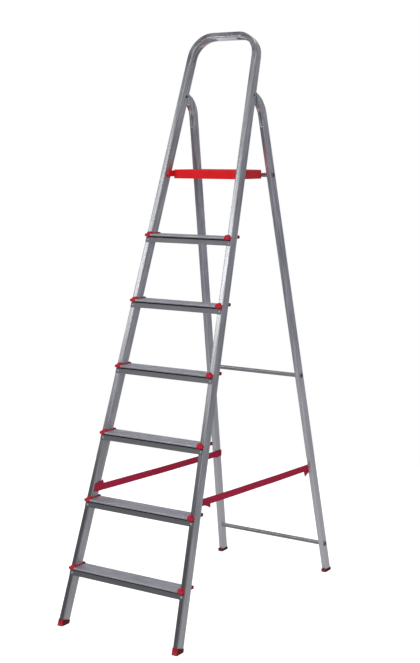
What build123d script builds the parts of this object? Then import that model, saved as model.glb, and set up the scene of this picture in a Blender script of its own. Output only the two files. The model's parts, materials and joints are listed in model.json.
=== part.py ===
from build123d import *
import math
import os

os.makedirs("parts", exist_ok=True)

# Folding step ladder: six treads and a platform, standing open on the floor.
# X runs across the ladder, Y from the climbing side to the back, Z up.
# All lengths in millimetres, all angles in degrees.

# ---- whole ladder ----
PITCH = 230.0            # rise from tread to tread
STEPS = 6
FIRST_TREAD = 201.5      # top of the lowest tread above the floor
TOP_HEIGHT = 2073.0      # top of the hand hoop
RAIL_LEAN = 18.1         # front rails lean back
LEG_LEAN = 11.6          # rear legs lean forward
Y_MID = 539.2            # middle of the footprint, measured back from the front rail's face

# ---- front rails and hoop: one bent rectangular tube ----
RAIL_WIDE = 20.0
RAIL_DEEP = 38.0
RAIL_WALL = 1.5
RAIL_CORNER = 3.5
RAIL_OUT_FLOOR = 254.0   # half width over the rails at the floor
RAIL_TAPER = 0.051       # how much each rail closes in per millimetre of its length
HOOP_BEND = 92.0         # outer bend radius of the hoop
RAIL_START = 17.0        # the tube ends this far up its own length, inside the foot
HOOP_PRESS_R = 20.0      # round groove left by the bending tool in each corner's inner wall
HOOP_PRESS_DEEP = 4.5
HOOP_PRESS_RUN = 4.0     # it runs this far past the bend at both ends

# ---- rear legs ----
LEG_WIDE = 18.0
LEG_DEEP = 36.0
LEG_WALL = 1.4
LEG_CORNER = 3.5
LEG_FLOOR_X = 243.0      # leg centre line at the floor
LEG_SET_BACK = 51.2      # leg centre line behind the fold pivot, square to the leg
LEG_BEND = 80.0          # centre-line bend radius at the top
LEG_PRESS_R = 7.0        # the same kind of groove in the inner wall of each leg's bend
LEG_PRESS_DEEP = 4.3
LEG_PRESS_RUN = 38.0
TONGUE_WIDE = 13.5       # flattened top end that enters the rail
FOLD_PIVOT_Z = 1843.0
FOLD_PIVOT_DEPTH = 24.3  # behind the rail's front face
FOLD_PIN_R = 4.0
RUN_GAP = 0.05           # radial clearance of a running pin

# ---- crossbars between the legs ----
BAR_R = 8.0
BAR_WALL = 1.2
BAR_HEIGHTS = {"top": 1561.0, "middle": 804.0, "bottom": 116.5}
FLARE_R = 10.0

# ---- treads ----
TREAD_BACK = 52.0        # tread runs this far behind the rail's front face
NOSE_OUT = 15.0          # and this far in front of it
NOSE_R = 4.0
FLANGE_DROP = 29.5       # front flange below the tread top
LAP_DROP = 11.6          # the flange is full width, over the rails, from here down
RIVET_DROP = 21.5
SHEET = 2.0
RIB_H = 0.8
END_STRIP = 22.8         # cap strip starts this far in from the rail's outer face

# ---- platform ----
PLATFORM_Z = 1566.0      # pivot height
PLATFORM_TOP = 14.0      # top face above the pivot
PLATFORM_UNDER = -18.0
PLATFORM_FRONT = 10.0    # body starts this far behind the pivot
PLATFORM_REAR = 185.0
PLATFORM_HALF = 147.0
SKIN = 3.0
EAR_R = 11.0
EAR_IN = 139.5
EAR_OUT = 147.5
EAR_CORE = 142.0         # the pivot hole in each ear is blind and stops here
SADDLE_HALF = 100.0

# ---- webbing straps ----
STRAP_WIDE = 25.0
STRAP_THICK = 1.6
STRAP_FRONT_Z = 464.0
STRAP_REAR_Z = 434.0
WASHER_THICK = 1.3
# each end is doubled back: turned out of line by so many degrees, downwards, over this length,
# and from the third value on it droops by the fourth
TAILS = {
    "right": ((0.0, 105.0, 62.0, 16.5), (24.0, 42.0, 42.0, 0.0)),
    "left": ((-15.5, 38.5, 38.5, 0.0), (4.0, 30.0, 30.0, 0.0)),
}

SA = math.sin(math.radians(RAIL_LEAN))
CA = math.cos(math.radians(RAIL_LEAN))
SB = math.sin(math.radians(LEG_LEAN))
CB = math.cos(math.radians(LEG_LEAN))
RAIL_TOP = TOP_HEIGHT / CA

# Front frame plane: x across, y up the rail, z square out of the rail's front face.
FRAME = Plane(origin=(0, -Y_MID, 0), x_dir=(1, 0, 0), z_dir=(0, -CA, SA))


def rail_outer(s):
    """Half width over the rails at length s up the rail."""
    return RAIL_OUT_FLOOR - RAIL_TAPER * s


def rail_length_at(z, depth):
    """Length up the rail of a point at height z and the given depth behind its front face."""
    return (z + depth * SA) / CA


def rail_point(z, depth):
    """Y of a point at height z and the given depth behind the rail's front face."""
    return rail_length_at(z, depth) * SA + depth * CA - Y_MID


def pair(shape):
    """A piece and its mirror image on the other side of the ladder."""
    return Compound(children=[shape, mirror(shape, about=Plane.YZ)])


def press_path(centre, radius, low, high, run_low, run_high):
    """An arc from angle low to angle high, in radians, with a straight run past each end."""

    def at(a, run=0.0):
        return (centre[0] + radius * math.cos(a) - run * math.sin(a),
                centre[1] + radius * math.sin(a) + run * math.cos(a))

    return Wire([Line(at(low, -run_low), at(low)),
                 ThreePointArc(at(low), at((low + high) / 2), at(high)),
                 Line(at(high), at(high, run_high))])


def bar_along(path, r):
    """A round bar carried along a path, with a ball at each end."""
    bar = sweep(Plane(origin=path @ 0, z_dir=path % 0) * Circle(r), path=path)
    return bar + Pos(*(path @ 0)) * Sphere(r) + Pos(*(path @ 1)) * Sphere(r)


def save(name, shape):
    export_step(shape, f"parts/{name}.step")


def box(x0, x1, y0, y1, z0, z1):
    return Pos((x0 + x1) / 2, (y0 + y1) / 2, (z0 + z1) / 2) * Box(x1 - x0, y1 - y0, z1 - z0)


def rod(x0, x1, y, z, r):
    """A cylinder across the ladder from x0 to x1."""
    return Pos((x0 + x1) / 2, y, z) * Rot(0, 90, 0) * Cylinder(r, x1 - x0)


def tread_height(i):
    return FIRST_TREAD + i * PITCH


def rivet_place(i, side):
    """Where a tread's flange is riveted to the rail's front face."""
    z = tread_height(i) - RIVET_DROP
    return (side * (rail_outer(z / CA) - 11.5), z * SA / CA - Y_MID, z)


def rivet_turn():
    return Rot(90 - RAIL_LEAN, 0, 0)


FOLD_Y = rail_point(FOLD_PIVOT_Z, FOLD_PIVOT_DEPTH)
FOLD_S = rail_length_at(FOLD_PIVOT_Z, FOLD_PIVOT_DEPTH)
FOLD_X = rail_outer(FOLD_S) - RAIL_WIDE / 2
PLAT_Y = rail_point(PLATFORM_Z, RAIL_DEEP / 2)
PLAT_S = rail_length_at(PLATFORM_Z, RAIL_DEEP / 2)
RAIL_IN = rail_outer(rail_length_at(STRAP_FRONT_Z, RAIL_DEEP / 2)) - RAIL_WIDE
STRAP_Y0 = rail_point(STRAP_FRONT_Z, RAIL_DEEP / 2)


# ---------------------------------------------------------------- front frame
def arch(inset, start):
    """The hoop seen square on: the outer edge less the inner edge, each drawn in by inset."""
    slant = math.sqrt(1 + RAIL_TAPER ** 2)

    def edge(off, top, radius, low):
        low_x = rail_outer(low) - off * slant
        top_x = rail_outer(top) - off * slant
        face = make_face(Polyline((-low_x, low), (-top_x, top), (top_x, top), (low_x, low), close=True))
        return fillet(face.vertices().sort_by(Axis.Y)[-2:], radius)

    outer = edge(inset, RAIL_TOP - inset, HOOP_BEND - inset, start)
    inner = edge(RAIL_WIDE - inset, RAIL_TOP - RAIL_WIDE + inset, HOOP_BEND - RAIL_WIDE + inset, start - 5)
    return outer - inner


def rail_slab(s0, s1, out, inn, front, back):
    """A straight length of the right rail's section, grown by out/inn sideways, front/back in depth."""
    face = make_face(Polyline(
        (rail_outer(s0) + out, s0), (rail_outer(s1) + out, s1),
        (rail_outer(s1) - RAIL_WIDE - inn, s1), (rail_outer(s0) - RAIL_WIDE - inn, s0), close=True))
    deep = RAIL_DEEP + front + back
    return Pos(0, 0, front) * extrude(face, amount=-deep)


def hoop_press(r):
    """Bar that lies along the inner wall round the hoop's right corner, part sunk in it."""
    slant = math.atan(RAIL_TAPER)
    radius = HOOP_BEND - RAIL_WIDE
    top = RAIL_TOP - RAIL_WIDE
    corner = rail_outer(top) - RAIL_WIDE / math.cos(slant)
    centre = (corner - radius / math.tan((math.pi / 2 + slant) / 2), top - radius)
    path = press_path(centre, radius - HOOP_PRESS_R + HOOP_PRESS_DEEP, slant, math.pi / 2,
                      HOOP_PRESS_RUN, HOOP_PRESS_RUN)
    return Pos(0, 0, -RAIL_DEEP / 2) * bar_along(path, r)


def hoop():
    tube = extrude(arch(0, RAIL_START), amount=-RAIL_DEEP)
    ends = tube.edges().filter_by(lambda e: e.center().Y < RAIL_START + 0.1)
    sides = tube.edges().filter_by(lambda e: abs(e.center().Z + RAIL_DEEP / 2) < 1)
    tube = fillet(tube.edges() - ends - sides, RAIL_CORNER)
    solid = tube
    tube -= Pos(0, 0, -RAIL_WALL) * extrude(arch(RAIL_WALL, RAIL_START - 2), amount=2 * RAIL_WALL - RAIL_DEEP)
    backing = hoop_press(HOOP_PRESS_R + RAIL_WALL) & solid
    groove = hoop_press(HOOP_PRESS_R)
    for turn in (0, 180):
        # turned about the rail plane's own upright, which passes through mid depth
        about = Pos(0, 0, -RAIL_DEEP / 2) * Rot(0, turn, 0) * Pos(0, 0, RAIL_DEEP / 2)
        tube += about * backing
        tube -= about * groove
    for side in (-1, 1):
        slot = box(-8.2, 8.2, FOLD_S - 38, FOLD_S + 19, -RAIL_DEEP - 1, -RAIL_DEEP + RAIL_WALL + 0.5)
        tube -= Pos(side * FOLD_X, 0, 0) * slot
    tube = FRAME * tube
    tube -= rod(-200, 200, FOLD_Y, FOLD_PIVOT_Z, FOLD_PIN_R + 0.02)
    tube -= rod(-rail_outer(PLAT_S) + RAIL_WIDE / 2, rail_outer(PLAT_S) - RAIL_WIDE / 2,
                PLAT_Y, PLATFORM_Z, FOLD_PIN_R + 0.02)
    tube -= rod(-RAIL_IN - RAIL_WIDE / 2, RAIL_IN + RAIL_WIDE / 2, STRAP_Y0, STRAP_FRONT_Z, 2.62)
    for i in range(STEPS):
        for side in (-1, 1):
            tube -= Pos(*rivet_place(i, side)) * rivet_turn() * Cylinder(2.42, 2 * RAIL_WALL + 1)
    return tube


save("front_rail_hoop", hoop())


def front_foot():
    """Shoe over the end of the right rail, with a plug inside the tube."""
    shoe = rail_slab(-20, 24.5, 1.6, 1.6, 1.6, 1.6)
    shoe = fillet(shoe.edges().filter_by(lambda e: abs(e.length - 44.5) < 1), 4.0)
    shoe -= rail_slab(RAIL_START, 30, 0.05, 0.05, 0.05, 0.05)
    shoe += rail_slab(RAIL_START - 2, 52, -RAIL_WALL - 0.3, -RAIL_WALL - 0.3, -RAIL_WALL - 0.3, -RAIL_WALL - 0.3)
    shoe = FRAME * shoe
    return shoe - box(200, 320, -Y_MID - 100, -Y_MID + 100, -60, 0)


FOOT = front_foot()
save("front_foot_right", FOOT)
save("front_foot_left", mirror(FOOT, about=Plane.YZ))


# ---------------------------------------------------------------- treads
def tread(i):
    """One extruded tread: ribbed top, round nosing and a front flange that laps the rails."""
    top = tread_height(i)
    half = rail_outer(top / CA) - END_STRIP - 0.4
    wide = rail_outer((top - LAP_DROP) / CA) - 1.5
    lap = SHEET / CA
    tan = SA / CA
    # outline of the tread plate with its nosing and rear lip, in (back, up) from the rail face
    plate = Pos((TREAD_BACK - NOSE_OUT + NOSE_R) / 2, -RIB_H - SHEET / 2) * Rectangle(
        TREAD_BACK + NOSE_OUT - NOSE_R, SHEET)
    nose = Pos(NOSE_R - NOSE_OUT, -NOSE_R) * Circle(NOSE_R)
    web = make_face(Polyline(
        (NOSE_R - NOSE_OUT, -2 * NOSE_R), (NOSE_R - NOSE_OUT, -RIB_H),
        (0, -RIB_H), (-2 * NOSE_R * tan, -2 * NOSE_R), close=True))
    lip = Pos(TREAD_BACK - SHEET / 2, -RIB_H - 6.5) * Rectangle(SHEET, 13)
    stiff = Pos(19, -RIB_H - 6) * Rectangle(SHEET, 12)
    outline = plate + nose + web + lip + stiff
    for n in range(11):
        outline += Pos(-8 + 5.5 * n, -RIB_H / 2 - 0.1) * Rectangle(2.4, RIB_H + 0.2)
    outline += make_face(Polyline(
        (-lap - 7 * tan, -7), (-7 * tan, -7),
        (-FLANGE_DROP * tan, -FLANGE_DROP), (-FLANGE_DROP * tan - lap, -FLANGE_DROP), close=True))
    body = extrude(outline, amount=half, both=True)
    flange = make_face(Polyline(
        (-lap - LAP_DROP * tan, -LAP_DROP), (-LAP_DROP * tan, -LAP_DROP),
        (-FLANGE_DROP * tan, -FLANGE_DROP), (-FLANGE_DROP * tan - lap, -FLANGE_DROP), close=True))
    body += extrude(flange, amount=wide, both=True)
    # section plane: its x runs back, its y up, so it is extruded across the ladder
    cut = Plane(origin=(0, top * tan - Y_MID, top), x_dir=(0, 1, 0), z_dir=(1, 0, 0))
    body = cut * body
    for side in (-1, 1):
        body -= Pos(*rivet_place(i, side)) * rivet_turn() * Cylinder(2.42, 20)
    return body


for i in range(STEPS):
    save(f"step_{i + 1}", tread(i))


def dome_rivet(shank_r, grip, head_r, head_h):
    """A domed rivet along +Z with its head seated at z = 0 and its shank running down."""
    ball_r = (head_r ** 2 + head_h ** 2) / (2 * head_h)
    head = Pos(0, 0, head_h - ball_r) * Sphere(ball_r)
    head &= Pos(0, 0, head_h / 2) * Cylinder(head_r + 1, head_h)
    return head + Pos(0, 0, -grip / 2) * Cylinder(shank_r, grip)


def step_rivets():
    found = []
    for i in range(STEPS):
        for side in (-1, 1):
            rivet = Pos(0, 0, SHEET) * dome_rivet(2.4, SHEET + RAIL_WALL + 1.5, 4.2, 1.5)
            found.append(Pos(*rivet_place(i, side)) * rivet_turn() * rivet)
    return found


save("step_rivets", Compound(children=step_rivets()))


def cap(i):
    """End cap of a tread on the right: nose and dome before the rail, strip beside it, knob behind it."""
    top = tread_height(i)
    tan = SA / CA
    out = rail_outer(top / CA)
    inn = out - END_STRIP
    back = RAIL_DEEP / CA
    y0 = top * tan - Y_MID
    bar = box(inn, out - 0.6, y0 - NOSE_OUT - 1, y0 + 6, top - 9.5, top + 1)
    bar = fillet(bar.edges().filter_by(Axis.X), 4.5)
    bar = fillet(bar.edges().group_by(Axis.X)[-1], 2.5)
    dome = box(inn, inn + 15, y0 - NOSE_OUT + 1, y0 + 6, top - 11.2, top + 8)
    dome = fillet(dome.edges().filter_by(Axis.Y), 6.0)
    dome = fillet(dome.edges().group_by(Axis.Y)[0], 4.5)
    rear = box(inn, out - 1.5, y0 + back - 6, y0 + back + 15.5, top - 8, top + 3.5)
    rear = fillet(rear.edges().filter_by(Axis.Y), 3.0)
    rear = fillet(rear.edges().group_by(Axis.Y)[-1], 3.0)
    strip = box(inn, inn + 6, y0 - 4, y0 + back + 8, top - 11.2, top + 3.0)
    solid = bar + dome + strip + rear
    return solid - FRAME * rail_slab(top / CA - 60, top / CA + 60, 6, 0.15, 0.15, 0.15)


for i in range(STEPS):
    save(f"step_caps_{i + 1}", pair(cap(i)))


# ---------------------------------------------------------------- rear frame
SPLAY = math.degrees(math.atan((LEG_FLOOR_X - FOLD_X) * CB / (FOLD_PIVOT_Z + LEG_SET_BACK * SB)))
LEG = Plane(origin=(FOLD_X, FOLD_Y, FOLD_PIVOT_Z), x_dir=(0, CB, SB), z_dir=(1, 0, 0))
SEG = 36.6               # the leg's short top run slopes this much below square to the leg
SEG_C = math.cos(math.radians(SEG))
SEG_S = math.sin(math.radians(SEG))


def leg_length_at(z):
    """Distance down the leg from the fold pivot to its centre line at height z."""
    return (FOLD_PIVOT_Z + LEG_SET_BACK * SB - z) / CB


def leg_centre_x(z):
    return FOLD_X + (LEG_FLOOR_X - FOLD_X) * leg_length_at(z) / leg_length_at(0)


def leg_face(half, start):
    """Side view of a leg: a short run from the pivot, a bend, then straight down to the floor."""
    reach = LEG_SET_BACK / SEG_C
    tangent = LEG_BEND * math.tan(math.radians(90 - SEG) / 2)
    turn_y = -reach * SEG_S - tangent
    centre = (LEG_SET_BACK - LEG_BEND, turn_y)

    def ends(r):
        return (centre[0] + r * SEG_S, centre[1] + r * SEG_C), (centre[0] + r, centre[1])

    def mid(r):
        a = math.radians((90 - SEG) / 2)
        return (centre[0] + r * math.cos(a), centre[1] + r * math.sin(a))

    up_o, down_o = ends(LEG_BEND + half)
    up_i, down_i = ends(LEG_BEND - half)
    run = reach - tangent - start
    foot = -2000
    lines = [
        Line((up_o[0] - run * SEG_C, up_o[1] + run * SEG_S), up_o),
        ThreePointArc(up_o, mid(LEG_BEND + half), down_o),
        Line(down_o, (down_o[0], foot)),
        Line((down_o[0], foot), (down_i[0], foot)),
        Line((down_i[0], foot), down_i),
        ThreePointArc(down_i, mid(LEG_BEND - half), up_i),
        Line(up_i, (up_i[0] - run * SEG_C, up_i[1] + run * SEG_S)),
        Line((up_i[0] - run * SEG_C, up_i[1] + run * SEG_S),
             (up_o[0] - run * SEG_C, up_o[1] + run * SEG_S)),
    ]
    return make_face(lines)


def below(z):
    return box(-400, 400, -800, 800, z - 400, z)


def leg_envelope():
    """Outside of the right leg below its flattened end."""
    solid = extrude(leg_face(LEG_DEEP / 2, 0), amount=LEG_WIDE / 2, both=True)
    rims = solid.edges().filter_by(lambda e: abs(abs(e.center().Z) - LEG_WIDE / 2) < 0.01 and e.length > 40)
    solid = fillet(rims, LEG_CORNER)
    solid = LEG * Rot(-SPLAY, 0, 0) * solid
    return solid - below(4.5)


def leg_press(r):
    """Bar that lies along the inner wall of the leg's bend, part sunk in it."""
    tangent = LEG_BEND * math.tan(math.radians(90 - SEG) / 2)
    centre = (LEG_SET_BACK - LEG_BEND, -LEG_SET_BACK * SEG_S / SEG_C - tangent)
    path = press_path(centre, LEG_BEND - LEG_DEEP / 2 - LEG_PRESS_R + LEG_PRESS_DEEP,
                      0, math.radians(90 - SEG), LEG_PRESS_RUN, 2)
    return LEG * Rot(-SPLAY, 0, 0) * bar_along(path, r)


def leg():
    solid = leg_envelope()
    backing = leg_press(LEG_PRESS_R + LEG_WALL) & solid
    core = extrude(leg_face(LEG_DEEP / 2 - LEG_WALL, 15), amount=LEG_WIDE / 2 - LEG_WALL, both=True)
    core &= box(-200, 200, -2100, -30, -20, 20)
    solid -= LEG * Rot(-SPLAY, 0, 0) * core
    solid += backing
    solid -= leg_press(LEG_PRESS_R)
    # the full-width tube stays outside the rail in both the open and the folded position
    clear = RAIL_DEEP - FOLD_PIVOT_DEPTH + 1.6
    for turn in (0, RAIL_LEAN + LEG_LEAN):
        tilt = Plane(origin=(FOLD_X, FOLD_Y, FOLD_PIVOT_Z), x_dir=(1, 0, 0),
                     z_dir=(0, -math.cos(math.radians(RAIL_LEAN - turn)), math.sin(math.radians(RAIL_LEAN - turn))))
        solid -= tilt * box(-60, 60, -200, 200, -clear, 100)
    # the pressed tongue reaches into the rail and turns on the pin
    swing = Circle(17) + Pos(22, 0) * Rectangle(44, 34)
    tongue = extrude(Rot(0, 0, -SEG) * swing, amount=TONGUE_WIDE / 2, both=True)
    solid += LEG * tongue
    solid -= rod(100, 200, FOLD_Y, FOLD_PIVOT_Z, FOLD_PIN_R + RUN_GAP)
    for z in BAR_HEIGHTS.values():
        solid -= rod(0, 400, bar_y(z), z, BAR_R + 0.1)
    inside = leg_centre_x(STRAP_REAR_Z)
    solid -= rod(inside - LEG_WIDE, inside, bar_y(STRAP_REAR_Z), STRAP_REAR_Z, 2.62)
    return solid


def bar_y(z):
    """Y of the leg's centre line at height z."""
    return FOLD_Y + LEG_SET_BACK * CB + leg_length_at(z) * SB


RIGHT_LEG = leg()
save("rear_leg_right", RIGHT_LEG)
save("rear_leg_left", mirror(RIGHT_LEG, about=Plane.YZ))


def crossbar(z):
    """Thin tube through both legs, its ends flared over the legs' outer faces."""
    end = leg_centre_x(z) + LEG_WIDE / 2 + 0.7
    y = bar_y(z)
    bar = rod(-end - 1.4, end + 1.4, y, z, BAR_R)
    for side in (-1, 1):
        x = sorted((side * end, side * (end + 1.4)))
        bar += rod(x[0], x[1], y, z, FLARE_R)
    return bar - rod(-end - 3, end + 3, y, z, BAR_R - BAR_WALL)


for name, z in BAR_HEIGHTS.items():
    save(f"crossbar_{name}", crossbar(z))


def rear_foot():
    """Low boat-shaped shoe under the right leg, longer at the front."""
    mid = LEG_FLOOR_X
    front = bar_y(0) - LEG_DEEP / 2 / CB
    rear = bar_y(0) + LEG_DEEP / 2 / CB
    shoe = box(mid - 11, mid + 11, front - 9, rear + 1.8, 0, 12)
    shoe = fillet(shoe.edges().filter_by(Axis.Z), 6)
    shoe = fillet(shoe.edges().group_by(Axis.Z)[-1], 1.5)
    shoe = chamfer(shoe.edges().group_by(Axis.Z)[0], 2.0)
    plug = extrude(Pos(LEG_SET_BACK, 0) * Rectangle(LEG_DEEP - 2 * LEG_WALL - 0.8, 3800),
                   amount=LEG_WIDE / 2 - LEG_WALL - 0.4, both=True)
    plug = LEG * Rot(-SPLAY, 0, 0) * plug
    plug &= box(150, 300, 300, 800, 3, 45)
    return shoe - leg_envelope() + plug


REAR_FOOT = rear_foot()
save("rear_foot_right", REAR_FOOT)
save("rear_foot_left", mirror(REAR_FOOT, about=Plane.YZ))


# ---------------------------------------------------------------- fold pivots
def fold_pin():
    """Pin through the rail's side walls and the tongue: flush outside, rolled over a hole inside."""
    inner = FOLD_X - RAIL_WIDE / 2
    outer = FOLD_X + RAIL_WIDE / 2
    pin = rod(inner - 1, outer + 0.2, FOLD_Y, FOLD_PIVOT_Z, FOLD_PIN_R)
    pin += rod(inner - 1.25, inner - 0.45, FOLD_Y, FOLD_PIVOT_Z, 4.9)
    return pin - rod(inner - 3, inner + 5, FOLD_Y, FOLD_PIVOT_Z, 2.6)


save("fold_pivot_rivets", pair(fold_pin()))


def fold_washers():
    found = []
    for side in (-1, 1):
        x = sorted((FOLD_X + side * (TONGUE_WIDE / 2 + 0.1), FOLD_X + side * (TONGUE_WIDE / 2 + 1.1)))
        ring = rod(x[0], x[1], FOLD_Y, FOLD_PIVOT_Z, 8) - rod(x[0] - 1, x[1] + 1, FOLD_Y, FOLD_PIVOT_Z, FOLD_PIN_R)
        found += [ring, mirror(ring, about=Plane.YZ)]
    return Compound(children=found)


save("fold_pivot_washers", fold_washers())


# ---------------------------------------------------------------- platform
def platform():
    """Moulded tray on two ears; its rear edge hooks over the top crossbar."""
    shrink = RAIL_TAPER * (PLATFORM_REAR - PLATFORM_FRONT)
    bar_back = bar_y(BAR_HEIGHTS["top"]) - PLAT_Y
    bar_up = BAR_HEIGHTS["top"] - PLATFORM_Z

    def outline(off):
        front = PLATFORM_FRONT + off
        rear = PLATFORM_REAR - off
        f = PLATFORM_HALF - off
        r = PLATFORM_HALF - shrink - off
        face = make_face(Polyline((-f, front), (-r, rear), (r, rear), (f, front), close=True))
        corners = face.vertices().sort_by(Axis.Y)
        face = fillet(corners[:2], 30 - off)
        return fillet(face.vertices().sort_by(Axis.Y)[-2:], 15 - off)

    deep = PLATFORM_TOP - PLATFORM_UNDER
    body = Pos(0, 0, PLATFORM_UNDER) * extrude(outline(0), amount=deep)
    body = fillet(body.edges().group_by(Axis.Z)[-1], 2.5)
    body -= Pos(0, 0, PLATFORM_UNDER - 1) * extrude(outline(SKIN), amount=deep - SKIN + 1)
    for x in (-100, -50, 0, 50, 100):
        body += box(x - 1.25, x + 1.25, PLATFORM_FRONT + 1, PLATFORM_REAR - 1, PLATFORM_UNDER + 5, PLATFORM_TOP - 1)
    for y in (65, 120):
        body += box(-140, 140, y - 1.25, y + 1.25, PLATFORM_UNDER + 5, PLATFORM_TOP - 1)
    # saddle over the crossbar with a lip behind it
    seat = bar_up + BAR_R + 0.35
    saddle = box(-SADDLE_HALF, SADDLE_HALF, PLATFORM_REAR - 6, bar_back + BAR_R + 4.4, seat, PLATFORM_TOP)
    saddle = fillet(saddle.edges().filter_by(Axis.Z).sort_by(Axis.Y)[-2:], 10)
    saddle = fillet(saddle.edges().group_by(Axis.Z)[-1].group_by(Axis.Y)[-1], 2.5)
    lip = box(-SADDLE_HALF + 10, SADDLE_HALF - 10, bar_back + BAR_R + 0.6, bar_back + BAR_R + 4.4, -10, seat + 4)
    body += saddle + lip
    for side in (-1, 1):
        x = sorted((side * EAR_IN, side * EAR_OUT))
        ear = rod(x[0], x[1], 0, 0, EAR_R) + box(x[0], x[1], 0, 46, -EAR_R, EAR_R)
        if side > 0:
            edge = [(EAR_OUT, 0), (EAR_OUT, 9), (EAR_OUT - 2.6, 60), (0, 60), (0, -20), (EAR_OUT, -20)]
        else:
            edge = [(-EAR_OUT, 0), (-EAR_OUT, 9), (-EAR_OUT + 2.6, 60), (0, 60), (0, -20), (-EAR_OUT, -20)]
        ear &= Pos(0, 0, -30) * extrude(make_face(Polyline(*edge, close=True)), amount=60)
        body += ear
        hole = sorted((side * EAR_CORE, side * 200))
        body -= rod(hole[0], hole[1], 0, 0, FOLD_PIN_R + RUN_GAP)
    return Pos(0, PLAT_Y, PLATFORM_Z) * body


save("platform", platform())


def platform_pin():
    """Headed pin fixed in the rail's inner wall; the platform's ear turns on its plain end."""
    wall = rail_outer(PLAT_S) - RAIL_WIDE
    pin = rod(EAR_CORE + 0.3, wall + RAIL_WALL + 1.8, PLAT_Y, PLATFORM_Z, FOLD_PIN_R)
    return pin + rod(wall + RAIL_WALL + 0.4, wall + RAIL_WALL + 1.8, PLAT_Y, PLATFORM_Z, 6.5)


save("platform_pivot_pins", pair(platform_pin()))


def platform_washer():
    x0 = EAR_OUT + 0.2
    x1 = x0 + 1.4
    return rod(x0, x1, PLAT_Y, PLATFORM_Z, 8) - rod(x0 - 1, x1 + 1, PLAT_Y, PLATFORM_Z, FOLD_PIN_R)


save("platform_pivot_washers", pair(platform_washer()))


# ---------------------------------------------------------------- straps
LEG_IN = leg_centre_x(STRAP_REAR_Z) - LEG_WIDE / 2
STRAP_Y1 = bar_y(STRAP_REAR_Z)
STRAP_X0 = RAIL_IN - 1.0
STRAP_X1 = LEG_IN - 1.3


def doubled_end(turn, length, bend_at, droop):
    """The layer that is folded back over a strap's front end, lying on the first layer."""
    half = STRAP_WIDE / 2
    face = make_face(Polyline((-10, -half), (bend_at, -half), (bend_at, half), (-10, half), close=True))
    if droop:
        face += make_face(Polyline((bend_at, -half), (length, droop - half), (length, droop + half),
                                   (bend_at, half), close=True))
    return Pos(0, 0, STRAP_THICK - 0.1) * Rot(0, 0, turn) * extrude(face, amount=STRAP_THICK + 0.1)


def strap(front, rear):
    """Right strap: one layer of webbing, its riveted ends doubled back a little out of line."""
    run = Vector(STRAP_X1 - STRAP_X0, STRAP_Y1 - STRAP_Y0, STRAP_REAR_Z - STRAP_FRONT_Z)
    flat = Plane(origin=(STRAP_X0, STRAP_Y0, STRAP_FRONT_Z), x_dir=run, z_dir=Vector(-run.Y, run.X, 0))
    length = run.length
    band = box(-15, length + 15, -STRAP_WIDE / 2, STRAP_WIDE / 2, 0, STRAP_THICK)
    band += doubled_end(*front)
    band += Pos(length, 0, 0) * mirror(doubled_end(*rear), about=Plane.YZ)
    for x in (0, length):
        band -= Pos(x, 0, 0) * Cylinder(3.2, 20)
    return flat * band


save("strap_right", strap(*TAILS["right"]))
save("strap_left", mirror(strap(*TAILS["left"]), about=Plane.YZ))


def strap_rivet(face_x, y, z, wall):
    """Rivet from a tube's inner face through both layers of webbing and a washer."""
    stack = 2 * STRAP_THICK + 1.6 + WASHER_THICK
    return Pos(face_x - stack, y, z) * Rot(0, -90, 0) * dome_rivet(2.6, stack + wall + 1.2, 4.4, 1.7)


def strap_washer(face_x, y, z):
    x1 = face_x - 2 * STRAP_THICK - 1.4
    return rod(x1 - WASHER_THICK, x1, y, z, 7.2) - rod(x1 - 3, x1 + 3, y, z, 2.7)


save("strap_front_rivets", pair(strap_rivet(RAIL_IN, STRAP_Y0, STRAP_FRONT_Z, RAIL_WALL)))
save("strap_rear_rivets", pair(strap_rivet(LEG_IN, STRAP_Y1, STRAP_REAR_Z, LEG_WALL)))
save("strap_front_washers", pair(strap_washer(RAIL_IN, STRAP_Y0, STRAP_FRONT_Z)))
save("strap_rear_washers", pair(strap_washer(LEG_IN, STRAP_Y1, STRAP_REAR_Z)))
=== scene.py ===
"""Looks of the folding step ladder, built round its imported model."""
import json
import math

import bmesh
import bpy
import numpy as np
from mathutils import Matrix, Vector


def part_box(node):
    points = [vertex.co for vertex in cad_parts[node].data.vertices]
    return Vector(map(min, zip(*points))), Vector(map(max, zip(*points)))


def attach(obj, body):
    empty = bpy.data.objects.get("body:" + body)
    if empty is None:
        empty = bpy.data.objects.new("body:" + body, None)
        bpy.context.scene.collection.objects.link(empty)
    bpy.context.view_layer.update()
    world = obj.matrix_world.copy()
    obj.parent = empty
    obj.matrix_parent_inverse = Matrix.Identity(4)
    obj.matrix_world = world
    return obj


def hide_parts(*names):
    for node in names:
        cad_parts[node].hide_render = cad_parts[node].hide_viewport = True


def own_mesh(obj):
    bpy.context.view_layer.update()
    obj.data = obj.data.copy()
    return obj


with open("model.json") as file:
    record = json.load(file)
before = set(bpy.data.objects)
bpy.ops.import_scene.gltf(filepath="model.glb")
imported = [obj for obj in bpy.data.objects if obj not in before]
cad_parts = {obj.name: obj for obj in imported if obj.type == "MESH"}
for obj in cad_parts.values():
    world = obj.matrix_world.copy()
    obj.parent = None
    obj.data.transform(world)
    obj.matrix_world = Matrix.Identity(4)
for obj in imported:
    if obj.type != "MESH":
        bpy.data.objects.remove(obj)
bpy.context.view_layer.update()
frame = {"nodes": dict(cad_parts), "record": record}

# ---- sizes that the finishes and pieces share, in metres and degrees ----
RAIL_LEAN = 18.1
LEG_LEAN = 11.6
PITCH = 0.230                # rise from tread to tread
FIRST_TREAD = 0.2015
TREAD_FALL = 0.032           # a tread's whole depth, from its top to below its flange
NOSE_DEEP = 0.008
RAIL_FOOT = 0.5392           # the rail's front face meets the floor this far in front of the origin
HOOP_BENT_FROM = 1.94        # heights above which the tubes are bent
LEG_BENT_FROM = 1.72
NOT_BENT = 9.0

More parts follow.
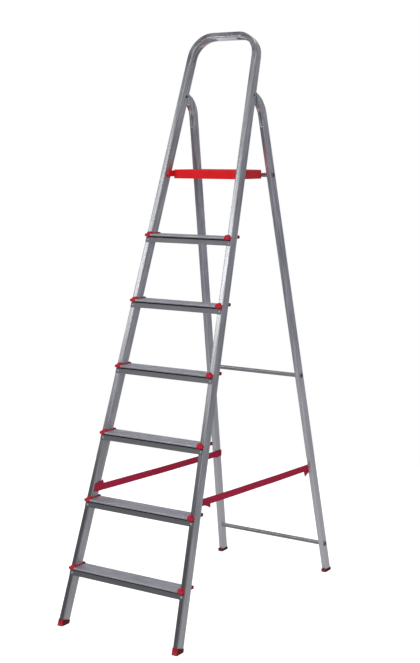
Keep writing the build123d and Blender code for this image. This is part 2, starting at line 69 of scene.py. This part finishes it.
STRAP_WIDE = 0.025
STRAP_THICK = 0.0016
STRAP_FOLD_R = 0.00085       # half the distance between the two layers of a doubled end
STRAP_SAG = 0.0015
STRAP_RIPPLE = 0.0006
STRAP_SET_FRONT = 0.0036     # from the washer's face on the strap out to the strap's face on the tube
STRAP_SET_REAR = 0.0033
STRAP_EASE = 0.12            # length over which the rows across the strap straighten from a slanted fold
# front and rear end: turned down by degrees, the fold lies past the rivet, the doubled layer comes
# back past the rivet, and droops from here on by so much
STRAP_ENDS = {
    "right": ((0.0, 0.008, 0.105, 0.062, 0.0165), (24.0, 0.015, 0.042, 0.042, 0.0)),
    "left": ((-15.5, 0.015, 0.0385, 0.0385, 0.0), (4.0, 0.015, 0.030, 0.030, 0.0)),
}

RIB_COUNT = 10               # anti-slip ribs on the platform
RIB_FIRST = 0.036            # first rib behind the platform's front edge
RIB_PITCH = 0.0145
RIB_HALF = 0.122             # half the length of the first rib
RIB_TAPER = 0.051            # and how much shorter per metre behind it
RIB_WIDE = 0.0022            # half a rib's width
RIB_HIGH = 0.0010
RIB_ROWS = 25                # sections along a rib
RIB_SIDES = 12               # points round each

FLOOR_R = 2.3
# soft glows of the room: direction, full within, gone beyond (degrees), strength, below 0 where it is darker
ROOM_GLOWS = (
    ((-0.54, 0.83, 0.12), 16, 42, 0.42),
    ((-0.54, 0.64, -0.54), 16, 36, 0.60),
    ((0.54, 0.83, -0.10), 20, 50, 0.12),
    ((-0.50, -0.86, -0.02), 14, 34, -0.16),
    ((0.45, -0.80, 0.30), 15, 50, 0.45),
)
ROOM_TINT = (0.965, 0.98, 1.06)
# lamps: name, place, what it points at, size, watts, whether the metal mirrors it
LAMPS = (
    ("front", (1.9, -4.6, 2.4), (0, 0, 1.0), (3.0, 2.6), 205, False),
    ("key", (-2.1, -3.1, 2.95), (0, 0, 1.2), (1.3, 0.9), 15.5, True),
    ("side", (4.4, -0.6, 2.2), (0, 0, 1.0), (1.6, 2.2), 11, False),
    ("top", (0.2, 0.6, 4.6), (0, 0, 0), (2.6, 2.6), 33, True),
)


# ================================================================ camera and studio
def make_camera():
    """Camera at eye height on the climbing side, a little to the right of the ladder."""
    data = bpy.data.cameras.new("viewer")
    data.lens = 70.455
    data.sensor_width = 36.0
    data.sensor_fit = "AUTO"
    data.clip_end = 60
    cam = bpy.data.objects.new("viewer", data)
    yaw, pitch, roll = math.radians(33.278), math.radians(-7.867), math.radians(0.152)
    ahead = Vector((-math.sin(yaw) * math.cos(pitch), math.cos(yaw) * math.cos(pitch), math.sin(pitch)))
    right = Vector((math.cos(yaw), math.sin(yaw), 0))
    up = right.cross(ahead)
    side = math.cos(roll) * right + math.sin(roll) * up
    top = -math.sin(roll) * right + math.cos(roll) * up
    turn = Matrix((side, top, -ahead)).transposed().to_4x4()
    cam.matrix_world = Matrix.Translation((2.58254, -3.89216, 1.64250)) @ turn
    bpy.context.scene.collection.objects.link(cam)
    bpy.context.scene.camera = cam


def area_light(name, place, aim, size, power, mirrored):
    """A soft rectangular lamp at place, pointed at aim."""
    data = bpy.data.lights.new(name, "AREA")
    data.shape = "RECTANGLE"
    data.size, data.size_y = size
    data.energy = power
    lamp = bpy.data.objects.new(name, data)
    lamp.location = place
    lamp.rotation_euler = (Vector(aim) - Vector(place)).to_track_quat("-Z", "Y").to_euler()
    lamp.visible_camera = False
    lamp.visible_glossy = mirrored
    bpy.context.scene.collection.objects.link(lamp)


make_camera()
bpy.context.scene.view_settings.view_transform = "Standard"
bpy.context.scene.view_settings.look = "None"


# ================================================================ shader arithmetic
class Sock:
    """A shader output that takes part in ordinary arithmetic."""

    def __init__(self, kit, out):
        self.kit, self.out = kit, out

    def _math(self, op, *values):
        return self.kit.node("ShaderNodeMath", {"operation": op}, dict(enumerate(values)))

    def __add__(self, other):
        return self._math("ADD", self, other)

    __radd__ = __add__

    def __sub__(self, other):
        return self._math("SUBTRACT", self, other)

    def __rsub__(self, other):
        return self._math("SUBTRACT", other, self)

    def __mul__(self, other):
        return self._math("MULTIPLY", self, other)

    def __truediv__(self, other):
        return self._math("DIVIDE", self, other)

    def abs(self):
        return self._math("ABSOLUTE", self)

    def sin(self):
        return self._math("SINE", self)

    def frac(self):
        return self._math("FRACT", self)


class Nodes:
    """A node tree under construction."""

    def __init__(self, tree):
        self.tree = tree

    def node(self, kind, settings=None, sockets=None, out=0):
        """Adds a node: settings are its own properties, sockets its inputs."""
        made = self.tree.nodes.new(kind)
        for key, value in (settings or {}).items():
            setattr(made, key, value)
        for key, value in (sockets or {}).items():
            self.join(made.inputs[key], value)
        return Sock(self, made.outputs[out])

    def join(self, target, value):
        if isinstance(value, Sock):
            self.tree.links.new(value.out, target)
        elif isinstance(value, (tuple, list)) and len(value) == 3 and target.type == "RGBA":
            target.default_value = (*value, 1)
        else:
            target.default_value = value

    def step(self, value, low, high):
        """0 below low, 1 above high, smooth between."""
        return self.node("ShaderNodeMapRange", {"interpolation_type": "SMOOTHSTEP"},
                         {"Value": value, "From Min": low, "From Max": high})

    def mix(self, factor, one, two):
        """Colour one at factor 0, colour two at factor 1."""
        made = self.tree.nodes.new("ShaderNodeMix")
        made.data_type = "RGBA"
        self.join(made.inputs[0], factor)
        self.join(made.inputs[6], one)
        self.join(made.inputs[7], two)
        return Sock(self, made.outputs[2])


class Finish(Nodes):
    """A material under construction: places patterns and sets the Principled shader."""

    def __init__(self, name):
        self.mat = bpy.data.materials.new(name)
        self.mat.use_nodes = True
        super().__init__(self.mat.node_tree)
        self.shader = self.tree.nodes["Principled BSDF"]

    def place(self, scale=(1, 1, 1), turn=(0, 0, 0), uv=False):
        """Object (or UV) coordinates, turned and stretched."""
        where = self.node("ShaderNodeTexCoord", out="UV" if uv else "Object")
        turn = tuple(math.radians(a) for a in turn)
        where = self.node("ShaderNodeMapping", None, {"Vector": where, "Rotation": turn})
        return self.node("ShaderNodeVectorMath", {"operation": "MULTIPLY"}, {0: where, 1: scale})

    def axes(self, vector):
        split = self.tree.nodes.new("ShaderNodeSeparateXYZ")
        self.tree.links.new(vector.out, split.inputs[0])
        return [Sock(self, split.outputs[i]) for i in range(3)]

    def noise(self, vector, scale=1.0, detail=2.0, rough=0.5):
        return self.node("ShaderNodeTexNoise", None,
                         {"Vector": vector, "Scale": scale, "Detail": detail, "Roughness": rough})

    def relief(self, height, distance, strength=1.0):
        bump = self.node("ShaderNodeBump", None,
                         {"Height": height, "Distance": distance, "Strength": strength})
        self.join(self.shader.inputs["Normal"], bump)

    def set(self, **values):
        for key, value in values.items():
            self.join(self.shader.inputs[key.replace("_", " ")], value)


# ================================================================ finishes
def rail_depth(m):
    """How far a point lies behind the rails' front faces, and its height."""
    _, y, z = m.axes(m.place())
    return (y + RAIL_FOOT) * math.cos(math.radians(RAIL_LEAN)) - z * math.sin(math.radians(RAIL_LEAN)), z


def drawn_aluminium(name, light, dark, turn, rough, bent_above, floor_light, low_front_shade=0.0):
    """Extruded aluminium: draw lines along the profile, soft bands, clouds of dull oxide, rubbed marks.

    Above the height bent_above the bending dies have burnished and streaked it. floor_light is how much
    painted light from the floor makes the lower metre paler, low_front_shade how much painted shade darkens
    the rails' front faces low down.
    """
    m = Finish(name)
    fine = m.noise(m.place((700, 700, 7), turn), 1.0, 3.0, 0.6)
    bands = m.noise(m.place((150, 150, 1.1), turn), 1.0, 2.0)
    cloud = m.noise(m.place((6, 6, 3), turn), 1.0, 4.0, 0.6)
    marks = m.noise(m.place((80, 80, 30), turn), 1.0, 5.0, 0.65)
    rubbed = m.step(marks, 0.60, 0.74)
    tone = fine * 0.34 + bands * 0.46 + cloud * 0.40
    colour = m.mix(m.step(tone, 0.46, 0.76), dark, light)
    colour = m.mix(rubbed * 0.35, colour, tuple(c * 0.60 for c in dark))
    up = m.axes(m.place())[2]
    # painted light: the lower metre made paler, as if lit from the floor
    colour = m.mix((1 - m.step(up, 0.1, 1.3)) * floor_light, colour, (0.90, 0.90, 0.94))
    bent = m.step(up, bent_above, bent_above + 0.03)
    streak = m.step(m.noise(m.place((14, 240, 14), turn), 1.0, 3.0, 0.6), 0.40, 0.60)
    colour = m.mix(bent * 0.6, colour, m.mix(streak, (0.26, 0.26, 0.28), (0.88, 0.88, 0.90)))
    # painted shade: the rails' front faces darkened over their lower part
    if low_front_shade:
        depth, z = rail_depth(m)
        front = (1 - m.step(depth, 0.0012, 0.0032)) * (1 - m.step(z, 0.30, 0.90)) * low_front_shade
        colour = m.mix(front * (0.6 + cloud * 0.6), colour, (0.13, 0.13, 0.145))
    m.set(Base_Color=colour, Metallic=0.88,
          Roughness=fine * 0.14 + cloud * 0.14 + rubbed * 0.14 - bent * 0.16 + (rough - 0.14))
    m.relief(fine * 0.6 + bands * 0.4 + marks * 0.15, 0.00022, 0.5)
    return m.mat


def tread_aluminium(name, light, dark):
    """Tread extrusion: draw lines across the ladder, ribs worn bright on top, a front flange darkened by
    painted shade and made rougher.
    """
    m = Finish(name)
    fine = m.noise(m.place((7, 700, 700)), 1.0, 3.0, 0.6)
    bands = m.noise(m.place((1.2, 150, 150)), 1.0, 2.0)
    cloud = m.noise(m.place((9, 9, 9)), 1.0, 4.0, 0.6)
    trodden = m.noise(m.place((14, 90, 5)), 1.0, 4.0, 0.7)
    height = ((m.axes(m.place())[2] - (FIRST_TREAD - TREAD_FALL)) / PITCH).frac() * PITCH
    flange_shade_and_dull = 1 - m.step(height, TREAD_FALL - NOSE_DEEP - 0.002, TREAD_FALL - NOSE_DEEP + 0.001)
    top = m.step(height, TREAD_FALL - 0.0007, TREAD_FALL - 0.0002)
    tone = fine * 0.30 + bands * 0.40 + cloud * 0.30 + trodden * 0.20
    colour = m.mix(m.step(tone, 0.38, 0.82), dark, light)
    # painted shade: the front flange below the nosing darkened
    colour = m.mix(flange_shade_and_dull, colour, tuple(c * 0.50 for c in dark))
    # painted shadow: a near-black band just under the nosing, where the recess lies in shade
    under_nose_shadow = 1 - m.step((height - (TREAD_FALL - NOSE_DEEP - 0.0026)).abs(), 0.0020, 0.0034)
    colour = m.mix(under_nose_shadow * 0.92, colour, (0.03, 0.03, 0.035))
    colour = m.mix(top * m.step(trodden, 0.5, 0.66) * 0.5, colour, (0.86, 0.86, 0.86))
    m.set(Base_Color=colour, Metallic=0.85, Roughness=fine * 0.16 + cloud * 0.14 + flange_shade_and_dull * 0.08 + 0.26)
    m.relief(fine * 0.6 + bands * 0.4 + trodden * top * 0.3, 0.00022, 0.5)
    return m.mat


def moulded_plastic(name, colour, rough):
    """Injection-moulded plastic: spark-eroded grain, faint flow clouds, pale scuffs."""
    m = Finish(name)
    here = m.place()
    grainy = m.noise(here, 1400.0, 2.0)
    cloud = m.noise(here, 14.0, 4.0, 0.6)
    scuff = m.step(m.noise(m.place((240, 70, 240)), 1.0, 5.0, 0.7), 0.60, 0.74) * 0.4
    deep = tuple(c * 0.80 for c in colour)
    base = m.mix(cloud, deep, colour)
    base = m.mix(scuff * 0.35, base, tuple(min(1.0, c * 1.15 + 0.05) for c in colour))
    m.set(Base_Color=base, Roughness=cloud * 0.12 + scuff * 0.25 + (rough - 0.06))
    m.shader.inputs["Specular IOR Level"].default_value = 0.35
    m.relief(grainy + cloud * 0.5, 0.00018, 0.45)
    return m.mat


def cap_plastic():
    """Cap plastic, darkened by painted shade where the cap sits behind the rail, out of the light."""
    m = Finish("cap plastic")
    here = m.place()
    grainy = m.noise(here, 1400.0, 2.0)
    cloud = m.noise(here, 30.0, 4.0, 0.6)
    # painted shade: the cap turns dark where it lies behind the rail
    behind_rail_shade = m.step(rail_depth(m)[0], 0.030, 0.040)
    base = m.mix(cloud, (0.34, 0.010, 0.024), (0.50, 0.013, 0.032))
    base = m.mix(behind_rail_shade * 0.78, base, (0.09, 0.008, 0.012))
    m.set(Base_Color=base, Roughness=cloud * 0.14 + behind_rail_shade * 0.15 + 0.38)
    m.shader.inputs["Specular IOR Level"].default_value = 0.35
    m.relief(grainy + cloud * 0.5, 0.00018, 0.45)
    return m.mat


def worn_rubber(name, colour, node):
    """Foot rubber: soft and dull, dusty towards the floor, its two flanks darkened with painted shade."""
    m = Finish(name)
    here = m.place()
    grainy = m.noise(here, 900.0, 3.0)
    cloud = m.noise(here, 45.0, 4.0, 0.6)
    height = m.axes(here)[2]
    dust = (1 - m.step(height, 0.0, 0.016)) * cloud
    base = m.mix(cloud, tuple(c * 0.7 for c in colour), colour)
    base = m.mix(dust * 0.35, base, (0.25, 0.20, 0.19))
    low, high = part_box(node)
    middle, half = abs(low[0] + high[0]) / 2, (high[0] - low[0]) / 2
    # painted shade: the foot's two side faces made near black, as if out of the light
    flank_shade = m.step((m.axes(here)[0].abs() - middle).abs(), half - 0.003, half - 0.001)
    base = m.mix(flank_shade * 0.75, base, (0.05, 0.006, 0.010))
    m.set(Base_Color=base, Roughness=cloud * 0.2 + 0.55)
    m.shader.inputs["Specular IOR Level"].default_value = 0.25
    m.relief(grainy + cloud, 0.0003, 0.5)
    return m.mat


def small_metal(name, colour, rough, metallic=0.9):
    """Small headed pieces: patches of polish and a few dull spots."""
    m = Finish(name)
    spots = m.noise(m.place(), 420.0, 4.0, 0.6)
    m.set(Base_Color=m.mix(spots, tuple(c * 0.78 for c in colour), colour), Metallic=metallic,
          Roughness=spots * 0.25 + rough)
    m.relief(spots, 0.00012, 0.4)
    return m.mat


def webbing():
    """Woven strap: lengthwise ribs crossed by a fine zigzag, darker selvedges, fuzz."""
    m = Finish("crimson webbing")
    u, v, _ = m.axes(m.place(uv=True))
    zig = ((u * 300.0).frac() - 0.5).abs() * 2
    ribs = (v * 3200.0 + zig * 1.6).sin() * 0.5 + 0.5
    cross = (u * 3600.0).sin() * 0.5 + 0.5
    weave = ribs * 0.65 + cross * 0.35
    fuzz = m.noise(m.place(), 700.0, 3.0, 0.6)
    cloud = m.noise(m.place(), 22.0, 3.0)
    edge = m.step(v.abs(), STRAP_WIDE / 2 - 0.0026, STRAP_WIDE / 2 - 0.0008)
    base = m.mix(weave * 0.65 + cloud * 0.35, (0.29, 0.009, 0.036), (0.62, 0.022, 0.076))
    base = m.mix(edge * 0.35, base, (0.16, 0.006, 0.020))
    m.set(Base_Color=base, Roughness=fuzz * 0.15 + 0.72)
    m.shader.inputs["Sheen Weight"].default_value = 0.03
    m.shader.inputs["Sheen Roughness"].default_value = 0.4
    m.shader.inputs["Specular IOR Level"].default_value = 0.2
    m.relief(weave + fuzz * 0.4, 0.0004, 0.7)
    return m.mat


RAIL = drawn_aluminium("rail aluminium", (0.70, 0.705, 0.73), (0.37, 0.375, 0.39), (RAIL_LEAN, 0, 0),
                       0.33, HOOP_BENT_FROM, 0.25, 0.75)
TREAD = tread_aluminium("tread aluminium", (0.68, 0.68, 0.72), (0.49, 0.49, 0.52))
LEG = drawn_aluminium("leg aluminium", (0.74, 0.745, 0.80), (0.36, 0.365, 0.40), (-LEG_LEAN, 0, 0),
                      0.36, LEG_BENT_FROM, 0.85)
BAR = drawn_aluminium("bar aluminium", (0.52, 0.52, 0.54), (0.38, 0.38, 0.40), (0, 90, 0),
                      0.36, NOT_BENT, 0.0)
PLATFORM_RED = moulded_plastic("platform plastic", (0.66, 0.010, 0.014), 0.42)
CAP_RED = cap_plastic()
FRONT_FOOT = worn_rubber("front foot rubber", (0.35, 0.008, 0.022), "front_foot_right")
REAR_FOOT = worn_rubber("rear foot rubber", (0.20, 0.008, 0.016), "rear_foot_right")
RIVET = small_metal("rivet aluminium", (0.72, 0.72, 0.72), 0.28)
DARK_PIN = small_metal("dark steel pin", (0.10, 0.10, 0.11), 0.35)
PAINTED = small_metal("red rivet paint", (0.50, 0.014, 0.026), 0.35, 0.0)
NYLON = moulded_plastic("nylon", (0.55, 0.54, 0.51), 0.5)
WEBBING = webbing()

FINISHES = {
    "rail_aluminium": RAIL, "tread_aluminium": TREAD, "leg_aluminium": LEG,
    "red_platform_plastic": PLATFORM_RED, "red_cap_plastic": CAP_RED, "dark_red_foot": FRONT_FOOT,
    "rivet_metal": RIVET, "painted_rivet": PAINTED, "washer_plastic": NYLON, "crimson_webbing": WEBBING,
}
SLOT_OF = {s["node"]: s["material_slot"] for s in frame["record"]["subparts"]}


def coat(node, material):
    """Gives every material slot of a CAD node the same finish."""
    mesh = frame["nodes"][node].data
    if not mesh.materials:
        mesh.materials.append(material)
    for i in range(len(mesh.materials)):
        mesh.materials[i] = material


for node in frame["nodes"]:
    coat(node, FINISHES[SLOT_OF[node]])
for node in ("crossbar_top", "crossbar_middle", "crossbar_bottom"):
    coat(node, BAR)
coat("fold_pivot_rivets", DARK_PIN)
for node in ("rear_foot_left", "rear_foot_right"):
    coat(node, REAR_FOOT)


# ================================================================ shapes
def skin(name, points, material, uv=None):
    """Closed mesh from an (n, m, 3) grid: m goes once round a profile, n along the piece, ends capped."""
    n, m = points.shape[:2]
    i, j = np.meshgrid(np.arange(n - 1), np.arange(m), indexing="ij")
    k = (j + 1) % m
    quads = np.stack([i * m + j, i * m + k, (i + 1) * m + k, (i + 1) * m + j], -1).reshape(-1, 4)
    faces = quads.tolist()
    faces.append(list(range(m))[::-1])
    faces.append([(n - 1) * m + a for a in range(m)])
    mesh = bpy.data.meshes.new(name)
    mesh.from_pydata(points.reshape(-1, 3).tolist(), [], faces)
    if uv is not None:
        layer = mesh.uv_layers.new(name="UVMap")
        corner = np.empty(len(mesh.loops), np.int32)
        mesh.loops.foreach_get("vertex_index", corner)
        layer.data.foreach_set("uv", uv.reshape(-1, 2)[corner].astype(np.float32).ravel())
    mesh.polygons.foreach_set("use_smooth", np.ones(len(mesh.polygons), bool))
    mesh.validate()
    recalculate(mesh)
    mesh.materials.append(material)
    piece = bpy.data.objects.new(name, mesh)
    bpy.context.scene.collection.objects.link(piece)
    return piece


def recalculate(mesh):
    """Turns every face of a closed mesh outwards."""
    work = bmesh.new()
    work.from_mesh(mesh)
    bmesh.ops.recalc_face_normals(work, faces=work.faces)
    work.to_mesh(mesh)
    work.free()
    mesh.update()


# ================================================================ straps
def wrap(x, v, h, line, end):
    """Folds a flat band back over a thin rod that crosses it at x = line, skewed by half the end's turn.

    t is the distance beyond the rod's line. Up to t = 0 the band is flat. Over the next pi * radius it
    goes round the rod: along = (radius - h) sin(t / radius), up = radius - (radius - h) cos(t / radius).
    What is left runs back, flat, on top of the first layer, and past bend_at it droops as distance^1.3.
    """
    turn, beyond, length, bend_at, droop = end
    skew, radius = math.radians(turn) / 2, STRAP_FOLD_R
    c, s = math.cos(skew), math.sin(skew)
    t = (x - line) * c - v * s
    angle = np.clip(t / radius, 0, math.pi)
    past = np.maximum(t - math.pi * radius, 0)
    along = np.minimum(t, 0) + (radius - h) * np.sin(angle) - past
    up = radius - (radius - h) * np.cos(angle)
    loose = np.clip((past - bend_at - beyond) / max(length - bend_at, 0.001), 0, 1.2)
    return x + (along - t) * c, v - (along - t) * s + droop * loose ** 1.3, up


def fold_rows(line, end):
    """Rows across the band near a fold: their place on the centre line and how far each leans."""
    lean = math.tan(math.radians(end[0]) / 2)
    bend = line + np.linspace(-0.004, math.pi * STRAP_FOLD_R + 0.004, 22)
    tail = np.linspace(bend[-1] + 0.003, line + end[1] + end[2], 26)
    return np.concatenate([bend, tail]), np.concatenate([np.full(22, lean), np.linspace(lean, 0, 26)])


def strap(side, name, front, rear):
    """One webbing stay from rail to leg, its riveted ends doubled back at a slant.

    The section is a superellipse: |v / half width|^5 + |h / half thickness|^5 = 1. It is carried along
    the flat strap, both ends are wrapped over, and the middle hangs by a shallow parabola.
    """
    front_low, front_high = (Vector(c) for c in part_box("strap_front_washers"))
    rear_low, rear_high = (Vector(c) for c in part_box("strap_rear_washers"))
    start = Vector((front_high.x + STRAP_SET_FRONT,
                    (front_low.y + front_high.y) / 2, (front_low.z + front_high.z) / 2))
    stop = Vector((rear_high.x + STRAP_SET_REAR,
                   (rear_low.y + rear_high.y) / 2, (rear_low.z + rear_high.z) / 2))
    run = stop - start
    length = run.length
    ahead = run.normalized()
    inward = Vector((-run.y, run.x, 0)).normalized()
    down = inward.cross(ahead)

    front_line, rear_line = front[1] - STRAP_FOLD_R, length + rear[1] - STRAP_FOLD_R
    rear_x, rear_lean = fold_rows(rear_line, rear)
    front_x, front_lean = fold_rows(front_line, front)
    middle = np.linspace(0.01 - front_line, rear_line - 0.01, 70)
    near_front, near_rear = (1 - np.clip(d / STRAP_EASE, 0, 1) for d in (middle, length - middle))
    middle_lean = rear_lean[0] * near_rear - front_lean[0] * near_front
    rows = np.concatenate([-front_x[::-1], middle, rear_x])
    lean = np.concatenate([-front_lean[::-1], middle_lean, rear_lean])

    angle = np.linspace(0, 2 * math.pi, 40, endpoint=False)
    power = 2 / 5
    v = STRAP_WIDE / 2 * np.sign(np.cos(angle)) * np.abs(np.cos(angle)) ** power
    h = STRAP_THICK / 2 * np.sign(np.sin(angle)) * np.abs(np.sin(angle)) ** power
    flat_x = rows[:, None] + lean[:, None] * v[None, :]
    flat_v = np.broadcast_to(v, flat_x.shape)
    flat_h = np.broadcast_to(h, flat_x.shape)

    x, across, up = wrap(flat_x, flat_v, flat_h, rear_line, rear)
    back_x, back_across, back_up = wrap(-flat_x, flat_v, flat_h, front_line, front)
    near = flat_x < length / 2
    x = np.where(near, -back_x, x)
    across = np.where(near, back_across, across)
    up = np.where(near, back_up, up)
    share = np.clip(x / length, 0, 1)
    across = across + STRAP_SAG * 4 * share * (1 - share)
    up = up + STRAP_THICK / 2 + STRAP_RIPPLE * np.sin(share * 5 * math.pi) * share * (1 - share) * 4

    points = (np.array(start) + x[..., None] * np.array(ahead) + across[..., None] * np.array(down)
              + up[..., None] * np.array(inward))
    points[..., 0] *= side
    uv = np.stack([flat_x, flat_v], -1)
    piece = skin("webbing_" + name, points, WEBBING, uv)
    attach(piece, "front_frame")
    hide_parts("strap_" + name)
    # folding brings the rear rivet round to just behind the front one. The strap flattens along the line
    # between the two, which is 12 degrees off its own, so folded its rear end stays 0.17 m from the rivet
    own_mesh(piece)


for side, name in ((1, "right"), (-1, "left")):
    strap(side, name, *STRAP_ENDS[name])


# ================================================================ platform tread pattern
def platform_ribs():
    """Raised anti-slip ribs across the platform's top.

    Each rib is a half-round bar: y = middle + half width * cos(a), z = top + height * sin(a), where its
    base is cut off flat, with both shrunk towards its ends by the fourth root of 1 - (2s - 1)^8, s
    running from 0 to 1 along it.
    """
    low, high = (Vector(c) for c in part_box("platform"))
    ribs = []
    s = np.linspace(0, 1, RIB_ROWS)
    a = np.linspace(0, 2 * math.pi, RIB_SIDES, endpoint=False)
    taper = (1 - np.abs(2 * s - 1) ** 8 * 0.999) ** 0.25
    for i in range(RIB_COUNT):
        middle = RIB_FIRST + i * RIB_PITCH
        half = RIB_HALF - RIB_TAPER * i * RIB_PITCH
        x = np.broadcast_to(((2 * s - 1) * half)[:, None], (RIB_ROWS, RIB_SIDES))
        y = low.y + middle + RIB_WIDE * taper[:, None] * np.cos(a)
        z = high.z + RIB_HIGH * taper[:, None] * np.maximum(np.sin(a), -0.3)
        ribs.append(skin(f"platform_rib_{i + 1}", np.stack([x, y, z], -1), PLATFORM_RED))
    return ribs


for rib in platform_ribs():
    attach(rib, "platform")


# ================================================================ floor and light
def pale_floor():
    """Round pale floor: points on a circle of FLOOR_R. It is seen white, and the metal mirrors it grey."""
    a = np.linspace(0, 2 * math.pi, 96, endpoint=False)
    rim = np.stack([FLOOR_R * np.cos(a), FLOOR_R * np.sin(a), 0 * a], -1)
    mesh = bpy.data.meshes.new("floor")
    mesh.from_pydata(rim.tolist(), [], [list(range(96))])
    floor = bpy.data.objects.new("floor", mesh)
    bpy.context.scene.collection.objects.link(floor)
    m = Finish("floor")
    seen = m.node("ShaderNodeLightPath", out="Is Camera Ray")
    m.set(Base_Color=(0.38, 0.38, 0.38), Roughness=0.9,
          Emission_Color=m.mix(seen, (0.10, 0.10, 0.10), (1, 1, 1)))
    m.shader.inputs["Emission Strength"].default_value = 1.0
    mesh.materials.append(m.mat)


def studio():
    """White backdrop; round it a cool grey room with paler and darker stretches of wall."""
    world = bpy.data.worlds.new("studio")
    bpy.context.scene.world = world
    world.use_nodes = True
    w = Nodes(world.node_tree)
    back = w.tree.nodes["Background"]
    ahead = w.node("ShaderNodeTexCoord", out="Generated")

    def glow(direction, inner, outer):
        """1 within inner degrees of the direction, 0 beyond outer degrees."""
        aim = tuple(Vector(direction).normalized())
        near = w.node("ShaderNodeVectorMath", {"operation": "DOT_PRODUCT"}, {0: ahead, 1: aim}, out="Value")
        return w.step(near, math.cos(math.radians(outer)), math.cos(math.radians(inner)))

    room = 0.20
    for direction, inner, outer, strength in ROOM_GLOWS:
        room = room + glow(direction, inner, outer) * strength
    path = w.node("ShaderNodeLightPath", out="Is Camera Ray")
    cool = w.mix(room, (0.0, 0.0, 0.0), ROOM_TINT)
    w.join(back.inputs["Color"], w.mix(path, cool, (1.0, 1.0, 1.0)))
    back.inputs["Strength"].default_value = 1.0


pale_floor()
studio()
for lamp in LAMPS:
    area_light(*lamp)
